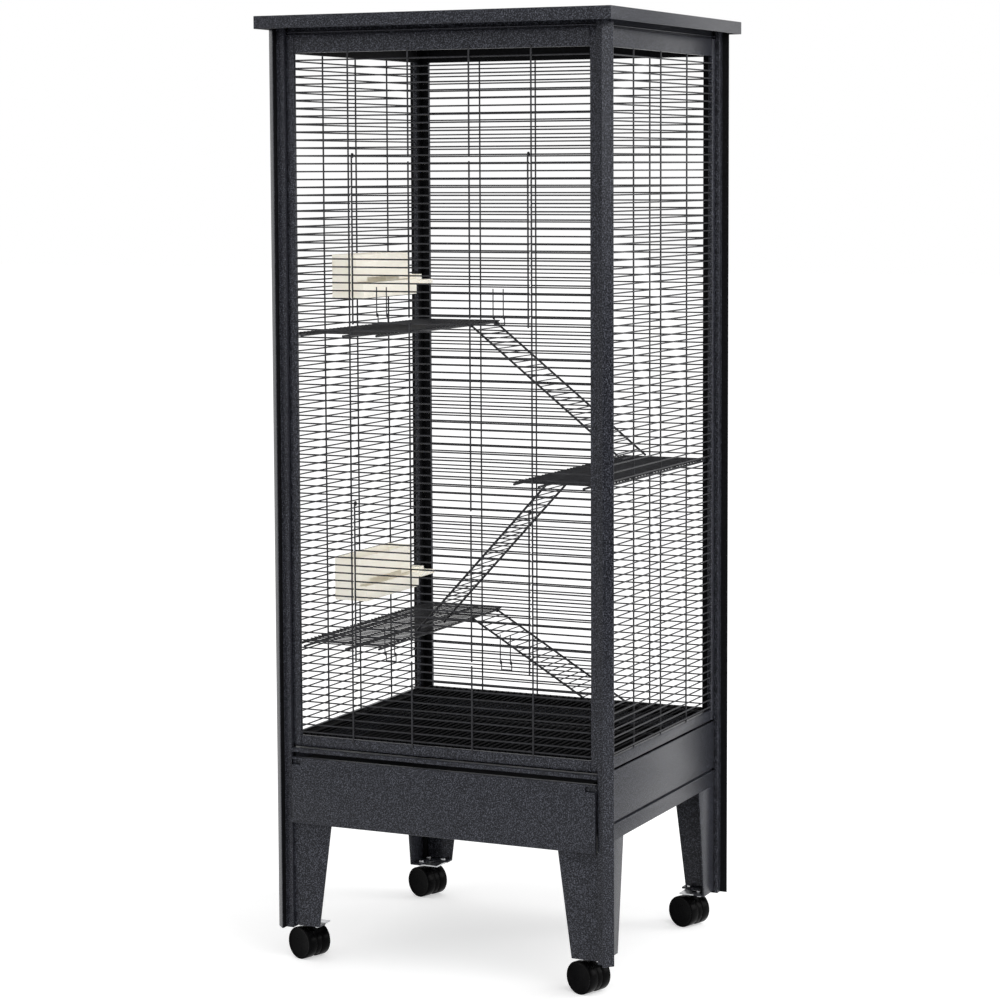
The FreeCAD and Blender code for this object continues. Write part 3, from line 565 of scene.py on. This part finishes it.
FOLD_LIP = 0.009    # how far past the panel's face a post's fold begins


class CAGE_OT_posts(bpy.types.Operator):
    """Shape the four rolled corner posts"""

    bl_idname = "cage.posts"
    bl_label = "Corner posts"

    def execute(self, context):
        face_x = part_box("right_panel_stiles")[1][0]
        face_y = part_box("rear_panel_stiles")[1][1]
        for corner in CORNERS:
            node = f"post_{corner}"
            post = eased(node, sizes().post_round, finish("coat"), f"rolled_{node}")
            # Painted shade on the post's inward sides and inside its fold
            shade_folds(post, node, face_x, face_y)
        return {"FINISHED"}


def shade_folds(post, node, face_x, face_y):
    """Put the painted shade on the sides of a post that face into the cage or into its own fold."""
    low, high = (Vector(corner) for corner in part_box(node))
    middle = (low + high) / 2
    sx, sy = math.copysign(1, middle.x), math.copysign(1, middle.y)
    open_edit(post)
    for place, way in (((sx * face_x, 0, 0), (1, 0, 0)), ((0, sy * face_y, 0), (0, 1, 0))):
        pick_all()
        bpy.ops.mesh.bisect(plane_co=place, plane_no=way)
    close_edit()

    def folded(face):
        centre = face.calc_center_median()
        out_x, out_y = sx * centre.x - face_x, sy * centre.y - face_y
        in_x, in_y = -sx * face.normal.x, -sy * face.normal.y
        inside = out_x < 0 and out_y < 0 and max(in_x, in_y) > LEANING
        return (inside or (in_x > LEANING and out_y > FOLD_LIP)
                or (in_y > LEANING and out_x > FOLD_LIP))

    # Painted shade on the faces picked above
    shade_faces(post, folded)


# Roof, base, drawer and legs

LEG_GAP = 0.002          # between the front legs' upper edge and the drawer front, in the solids
LEG_GAP_SHOWN = 0.0003   # the same gap as drawn here


class CAGE_OT_sheets(bpy.types.Operator):
    """Shape the roof, the base box, the drawer and the legs"""

    bl_idname = "cage.sheets"
    bl_label = "Sheet metal"

    def execute(self, context):
        for node in ("roof_panel", "front_sill", "drawer_front"):
            eased(node, sizes().sheet_round, finish("coat"), f"folded_{node}")
        for node in ("left_skirt", "right_skirt"):
            eased(node, sizes().thin_round, finish("coat"), f"folded_{node}")
        drawn_up("rear_skirt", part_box("rear_skirt")[1][2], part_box("rear_panel_rails")[0][2])
        drawer_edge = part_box("drawer_front")[0][2]
        drawn_up("corner_legs", drawer_edge - LEG_GAP, drawer_edge - LEG_GAP_SHOWN)
        # Painted shade: the tray, runners and grate ledges get the near-black finish, for the shade deep in the
        # base
        for node in ("drawer_tray", "drawer_runners", "grate_ledges"):
            eased(node, sizes().thin_round, finish("shade"), f"folded_{node}")
        return {"FINISHED"}


def drawn_up(node, top, new_top):
    """A sheet piece whose upper edge is drawn up, so that no light shows through the slit above."""
    sheet = cad_copy(node, f"folded_{node}")
    open_edit(sheet)
    pick_faces(sheet, lambda face: face.normal.z > SQUARE_ON
               and abs(face.calc_center_median().z - top) < SAME_HEIGHT)
    bpy.ops.transform.translate(value=(0, 0, new_top - top))
    close_edit()
    round_edges(sheet, sizes().thin_round)
    settle(sheet, node, finish("coat"))


# Wire panels

class CAGE_OT_panels(bpy.types.Operator):
    """Shape the frames and wires of the four panels"""

    bl_idname = "cage.panels"
    bl_label = "Wire panels"

    def execute(self, context):
        for side, inward in INWARD.items():
            for part in ("stiles", "rails"):
                bars = eased(f"{side}_panel_{part}", sizes().sheet_round, finish("coat"),
                             f"{side}_frame_{part}")
                # Painted shade on the frame faces that look into the cage
                shade_faces(bars, lambda face: face.normal.dot(inward) > LEANING)
            round_wires(f"{side}_cross_wires", finish("wire"), f"{side}_rows")
            round_wires(f"{side}_upright_wires", finish("wire"), f"{side}_uprights")
        round_wires("door_hinge_wires", finish("wire"), "hinge_rows")
        return {"FINISHED"}


# Doors and clips

DOOR_CURL = 320       # degrees that a door's edge wire curls round the hinge wire
CLIP_CURL = 350       # degrees that a clip curls round the door's bottom wire
CLIP_CORNER = 2.5     # bend of a clip's hoop, in wire radii


class CAGE_OT_doors(bpy.types.Operator):
    """Shape the flap doors and their clips"""

    bl_idname = "cage.doors"
    bl_label = "Doors and clips"

    def execute(self, context):
        for door in ("upper", "lower"):
            round_wires(f"{door}_door_cross_wires", finish("wire"), f"{door}_door_rows")
            hooked_edges(door)
            for hand in ("left", "right"):
                bent_clip(f"{door}_door_clip_{hand}")
        return {"FINISHED"}


def hooked_edges(door):
    """Edge wires that curl round the hinge wire, and the plain wires between them."""
    node = f"{door}_door_edge_wires"
    hinge = Vector(JOINTS[f"{door}_door_hinge"]["pos_m"])
    wires = []
    for low, high in loose_boxes(node):
        if high.z < hinge.z:
            wires.append(round_bar(low, high))
            continue
        radius = (high.x - low.x) / 2
        start = Vector(((low.x + high.x) / 2, low.y + radius, low.z))
        wires.append(bent_wire(radius, start, [
            ("run", (0, 0, hinge.z - start.z)),
            ("bend", (start.x, hinge.y, hinge.z), (-1, 0, 0), DOOR_CURL)]))
    settle(join(wires, f"{door}_door_edges"), node, finish("wire"))


def bent_clip(node):
    """Two legs that curl round the door's bottom wire, and a hoop behind the panel wire."""
    pivot = Vector(JOINTS[f"{node}_turn"]["pos_m"])
    low, high = (Vector(corner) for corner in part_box(node))
    radius = sizes().clip_radius
    turn = CLIP_CORNER * radius
    front, back = low.y + radius, high.y - radius
    left, right = low.x + radius, high.x - radius
    foot = low.z + radius + turn
    wires = []
    for place in (left, right):
        wires.append(bent_wire(radius, (place, front, high.z), [
            ("run", (0, 0, pivot.z - high.z)),
            ("bend", (place, pivot.y, pivot.z), (1, 0, 0), CLIP_CURL)]))
    wires.append(bent_wire(radius, (left, back, pivot.z), [
        ("run", (0, 0, foot - pivot.z)),
        ("bend", (left + turn, back, foot), (0, -1, 0), 90),
        ("run", (right - left - 2 * turn, 0, 0)),
        ("bend", (right - turn, back, foot), (0, -1, 0), 90),
        ("run", (0, 0, pivot.z - foot))]))
    settle(join(wires, f"bent_{node}"), node, finish("wire"))


# Platforms and floor grate

class CAGE_OT_platforms(bpy.types.Operator):
    """Shape the wire platforms and the floor grate"""

    bl_idname = "cage.platforms"
    bl_label = "Platforms and floor grate"

    def execute(self, context):
        for node in ("platform_rods", "upper_platform_wires", "middle_platform_wires",
                     "lower_platform_wires", "floor_grate_bars"):
            round_wires(node, finish("wire"), f"round_{node}")
        # Painted shade: the floor grate's wires get the near-black finish
        round_wires("floor_grate_wires", finish("shade"), "round_floor_grate_wires")
        return {"FINISHED"}


# Ramps

EYE_RADIUS = 0.0033       # middle of the ring round the platform's edge rod
EYE_WALL = 0.0012         # half the wall of that ring
EYE_SEGMENTS = 14
EYE_SIDES = 6
TIP_SPACE = 0.3           # least space left at a ramp's tip, in rung pitches


class CAGE_OT_ramps(bpy.types.Operator):
    """Shape the three climbing ramps"""

    bl_idname = "cage.ramps"
    bl_label = "Ramps"

    def execute(self, context):
        for level in ("upper", "middle", "lower"):
            welded_ramp(f"{level}_ramp")
        return {"FINISHED"}


def welded_ramp(node):
    """Side rods, rungs and eyes laid flat from the hinge, then turned to the ramp's slope."""
    pivot = Vector(JOINTS[f"{node}_hinge"]["pos_m"])
    points = [vert.co - pivot for vert in frame["nodes"][node].data.vertices]
    reach = max(math.hypot(point.x, point.z) for point in points)
    ends = [point for point in points if math.hypot(point.x, point.z) > reach - SAME_PLACE]
    tip = sum(ends, Vector()) / len(ends)
    sign = math.copysign(1, tip.x)
    length = math.hypot(tip.x, tip.z)
    low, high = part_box(node)
    rod, rung, pitch = sizes().rod_radius, sizes().rung_radius, sizes().rung_pitch
    near, far = low[1] + rod, high[1] - rod
    wires = []
    for place in (near, far):
        wires.append(lying_bar((0, sign * length), (place - rod, place + rod), rod))
        wires.append(rod_eye(place, rod))
    rungs = lying_bar((sign * pitch - rung, sign * pitch + rung), (near + rod, far - rod), rung)
    repeat(rungs, (sign * pitch, 0, 0), math.floor(length / pitch - TIP_SPACE))
    wires.append(rungs)
    whole = join(wires, f"welded_{node}")
    only(whole)
    apply_place()
    whole.rotation_euler = (0, sign * math.atan2(-tip.z, abs(tip.x)), 0)
    whole.location = pivot
    settle(whole, node, finish("wire"))


def lying_bar(x_span, y_span, half):
    """A round bar in the plane z = 0."""
    low = Vector((min(x_span), min(y_span), -half))
    high = Vector((max(x_span), max(y_span), half))
    return round_bar(low, high)


def rod_eye(place, half):
    """The ring at the end of a side rod, as wide as the rod."""
    deselect()
    bpy.ops.mesh.primitive_torus_add(
        location=(0, place, 0), rotation=(math.pi / 2, 0, 0), major_radius=EYE_RADIUS,
        minor_radius=EYE_WALL, major_segments=EYE_SEGMENTS, minor_segments=EYE_SIDES)
    eye = bpy.context.object
    bpy.ops.transform.resize(value=(1, half / EYE_WALL, 1), center_override=(0, place, 0))
    return eye


# Feeders

class CAGE_OT_feeders(bpy.types.Operator):
    """Shape the two moulded feeders"""

    bl_idname = "cage.feeders"
    bl_label = "Feeders"

    def execute(self, context):
        for node in ("upper_feeder", "lower_feeder"):
            eased(node, sizes().feeder_round, finish("cream"), f"moulded_{node}", segments=3)
        return {"FINISHED"}


# Casters

WHEEL_SIDE = 0.015       # a wheel's outer side lies further than this from the middle of the pair
DISC_EDGE = 0.0007       # width of the slope from the rim down to the disc
DISC_SINK = 0.0012


class CAGE_OT_casters(bpy.types.Operator):
    """Shape the casters with their plates and bolts"""

    bl_idname = "cage.casters"
    bl_label = "Casters"

    def execute(self, context):
        eased("caster_plates", sizes().thin_round, finish("zinc"), "plated_plates")
        eased("caster_bolts", sizes().thin_round, finish("zinc"), "plated_bolts")
        for corner in CORNERS:
            eased(f"caster_hood_{corner}", sizes().hood_round, finish("black"),
                  f"moulded_hub_{corner}", segments=3)
            dished_wheels(corner)
        return {"FINISHED"}


def dished_wheels(corner):
    """Twin wheels with a rim round a sunk disc on each outer side."""
    node = f"caster_wheels_{corner}"
    spin = JOINTS[f"wheel_spin_{corner}"]
    axle, centre = Vector(spin["axis"]), Vector(spin["pos_m"])
    wheels = cad_copy(node, f"moulded_wheels_{corner}")
    open_edit(wheels)

    def outer(face):
        away = (face.calc_center_median() - centre).dot(axle)
        return abs(face.normal.dot(axle)) > EXACT and abs(away) > WHEEL_SIDE

    pick_faces(wheels, outer)
    bpy.ops.mesh.inset(thickness=sizes().wheel_rim, depth=0)
    bpy.ops.mesh.inset(thickness=DISC_EDGE, depth=-DISC_SINK)
    close_edit()
    round_edges(wheels, sizes().wheel_round)
    settle(wheels, node, finish("black"), WHEEL_SMOOTH_ANGLE)


# Stage

FLOOR_SIZE = 60
FLOOR_GREY = 0.8
FLOOR_GLOW = 0.42        # added where the floor is seen, so that it is white there
WORLD_LIGHT = 0.87       # strength of the world as a light
WORLD_SEEN = 1.0         # strength of the world as the background

LAMP_TARGET = Vector((0, 0, 0.8))
# Name, place, size in metres, power in watts, and the only pieces that it lights
LAMPS = (
    ("key_lamp", (2.6, -1.5, 2.9), 2.4, 36, ()),
    ("side_lamp", (3.9, 1.6, 2.0), 2.4, 65, ()),
    ("fill_lamp", (1.7, -4.7, 2.4), 3.0, 25, ()),
    ("feeder_lamp", (2.1, -4.7, 1.4), 1.0, 105, ("moulded_upper_feeder", "moulded_lower_feeder")),
)

CARD_PLACE = (0.98, -0.59, 0.74)
CARD_FACING = Vector((-0.9, 0.42, 0))
CARD_SCALE = (1.4, 0.95, 1)
CARD_GREY = 0.01

LENS = 102.129                              # millimetres, on a sensor of the next width
SENSOR_WIDTH = 36
LENS_SHIFT = -0.07                          # upright shift, as a share of the picture
VIEW_END = 100
CAMERA_PLACE = (2.0238, -4.3690, 1.3298)
CAMERA_YAW = 24.9719                        # degrees, as the next two
CAMERA_DIP = 5.2240
CAMERA_ROLL = -0.2616


class CAGE_OT_stage(bpy.types.Operator):
    """Set the floor, the studio light and the camera"""

    bl_idname = "cage.stage"
    bl_label = "Studio"

    def execute(self, context):
        floor_plane()
        studio_world()
        for lamp in LAMPS:
            area_lamp(*lamp)
        dark_card()
        studio_camera()
        bpy.context.scene.view_settings.view_transform = "Standard"
        return {"FINISHED"}


def grey(level):
    return (level, level, level, 1)


def seen_directly(tree):
    """1 where the background is seen, also in a sheen or through a piece, and 0 where it lights."""
    path = tree.nodes.new("ShaderNodeLightPath")
    seen = path.outputs["Is Camera Ray"]
    for ray in ("Is Glossy Ray", "Is Transmission Ray"):
        either = tree.nodes.new("ShaderNodeMath")
        either.operation = "MAXIMUM"
        tree.links.new(seen, either.inputs[0])
        tree.links.new(path.outputs[ray], either.inputs[1])
        seen = either.outputs["Value"]
    return seen


def floor_plane():
    """A wide white floor that takes the shadow."""
    deselect()
    bpy.ops.mesh.primitive_plane_add(size=FLOOR_SIZE, location=(0, 0, 0))
    floor = bpy.context.object
    floor.name = "studio_floor"
    paint = bpy.data.materials.new("studio_white")
    paint.use_nodes = True
    nodes = paint.node_tree.nodes
    link = paint.node_tree.links.new
    nodes.clear()
    matt = nodes.new("ShaderNodeBsdfDiffuse")
    matt.inputs["Color"].default_value = grey(FLOOR_GREY)
    glow = nodes.new("ShaderNodeEmission")
    level = nodes.new("ShaderNodeMath")
    level.operation = "MULTIPLY"
    level.inputs[1].default_value = FLOOR_GLOW
    both = nodes.new("ShaderNodeAddShader")
    output = nodes.new("ShaderNodeOutputMaterial")
    link(seen_directly(paint.node_tree), level.inputs[0])
    link(level.outputs["Value"], glow.inputs["Strength"])
    link(matt.outputs["BSDF"], both.inputs[0])
    link(glow.outputs["Emission"], both.inputs[1])
    link(both.outputs["Shader"], output.inputs["Surface"])
    floor.data.materials.append(paint)


def dark_card():
    """A dark card at half height that only sheens see, for the face across the posts' corners."""
    deselect()
    bpy.ops.mesh.primitive_plane_add(size=1, location=CARD_PLACE)
    card = bpy.context.object
    card.name = "studio_card"
    card.rotation_euler = CARD_FACING.to_track_quat("Z", "Y").to_euler()
    card.scale = CARD_SCALE
    card.visible_camera = False
    card.visible_diffuse = False
    card.visible_shadow = False
    paint = bpy.data.materials.new("studio_black")
    paint.use_nodes = True
    shader = paint.node_tree.nodes["Principled BSDF"]
    shader.inputs["Base Color"].default_value = grey(CARD_GREY)
    shader.inputs["Roughness"].default_value = 0.9
    shader.inputs["Specular IOR Level"].default_value = 0.0
    card.data.materials.append(paint)


def studio_world():
    """White behind the object, and a slightly weaker even light on it."""
    world = bpy.data.worlds.new("studio_world")
    world.use_nodes = True
    bpy.context.scene.world = world
    nodes = world.node_tree.nodes
    link = world.node_tree.links.new
    nodes.clear()
    level = nodes.new("ShaderNodeMapRange")
    level.inputs["To Min"].default_value = WORLD_LIGHT
    level.inputs["To Max"].default_value = WORLD_SEEN
    sky = nodes.new("ShaderNodeBackground")
    sky.inputs["Color"].default_value = grey(1)
    output = nodes.new("ShaderNodeOutputWorld")
    link(seen_directly(world.node_tree), level.inputs["Value"])
    link(level.outputs["Result"], sky.inputs["Strength"])
    link(sky.outputs["Background"], output.inputs["Surface"])


def area_lamp(name, place, size, power, lit):
    """A square soft lamp that looks at the cage and lights all of it, or only the pieces named."""
    lamp = bpy.data.lights.new(name, "AREA")
    lamp.size = size
    lamp.energy = power
    obj = bpy.data.objects.new(name, lamp)
    bpy.context.scene.collection.objects.link(obj)
    obj.location = place
    obj.rotation_euler = (LAMP_TARGET - Vector(place)).to_track_quat("-Z", "Y").to_euler()
    if lit:
        group = bpy.data.collections.new(f"{name}_lights")
        for piece in lit:
            group.objects.link(bpy.data.objects[piece])
        obj.light_linking.receiver_collection = group


def studio_camera():
    """Camera at the photograph's place and angle."""
    lens = bpy.data.cameras.new("studio_camera")
    lens.lens = LENS
    lens.sensor_width = SENSOR_WIDTH
    lens.shift_y = LENS_SHIFT
    lens.clip_end = VIEW_END
    camera = bpy.data.objects.new("studio_camera", lens)
    bpy.context.scene.collection.objects.link(camera)
    camera.location = CAMERA_PLACE
    yaw = Matrix.Rotation(math.radians(CAMERA_YAW), 3, "Z")
    pitch = Matrix.Rotation(math.radians(90 - CAMERA_DIP), 3, "X")
    roll = Matrix.Rotation(math.radians(CAMERA_ROLL), 3, "Z")
    camera.rotation_euler = (yaw @ pitch @ roll).to_euler()
    bpy.context.scene.camera = camera


class CAGE_PT_panel(bpy.types.Panel):
    """List of the cage's pieces"""

    bl_idname = "CAGE_PT_panel"
    bl_label = "Chinchilla cage"
    bl_space_type = "VIEW_3D"
    bl_region_type = "UI"
    bl_category = "Cage"

    def draw(self, context):
        column = self.layout.column()
        for operator in OPERATORS:
            column.operator(operator.bl_idname)


OPERATORS = (
    CAGE_OT_posts, CAGE_OT_sheets, CAGE_OT_panels, CAGE_OT_doors, CAGE_OT_platforms, CAGE_OT_ramps,
    CAGE_OT_feeders, CAGE_OT_casters, CAGE_OT_stage,
)
CLASSES = (CageSizes, CageColours, *OPERATORS, CAGE_PT_panel)


def register():
    for cls in CLASSES:
        bpy.utils.register_class(cls)
    bpy.types.Scene.cage_sizes = bpy.props.PointerProperty(type=CageSizes)
    bpy.types.Scene.cage_colours = bpy.props.PointerProperty(type=CageColours)


def unregister():
    del bpy.types.Scene.cage_colours
    del bpy.types.Scene.cage_sizes
    for cls in reversed(CLASSES):
        bpy.utils.unregister_class(cls)


def main():
    register()
    bpy.ops.cage.posts()
    bpy.ops.cage.sheets()
    bpy.ops.cage.panels()
    bpy.ops.cage.doors()
    bpy.ops.cage.platforms()
    bpy.ops.cage.ramps()
    bpy.ops.cage.feeders()
    bpy.ops.cage.casters()
    bpy.ops.cage.stage()


if __name__ == "__main__":
    main()
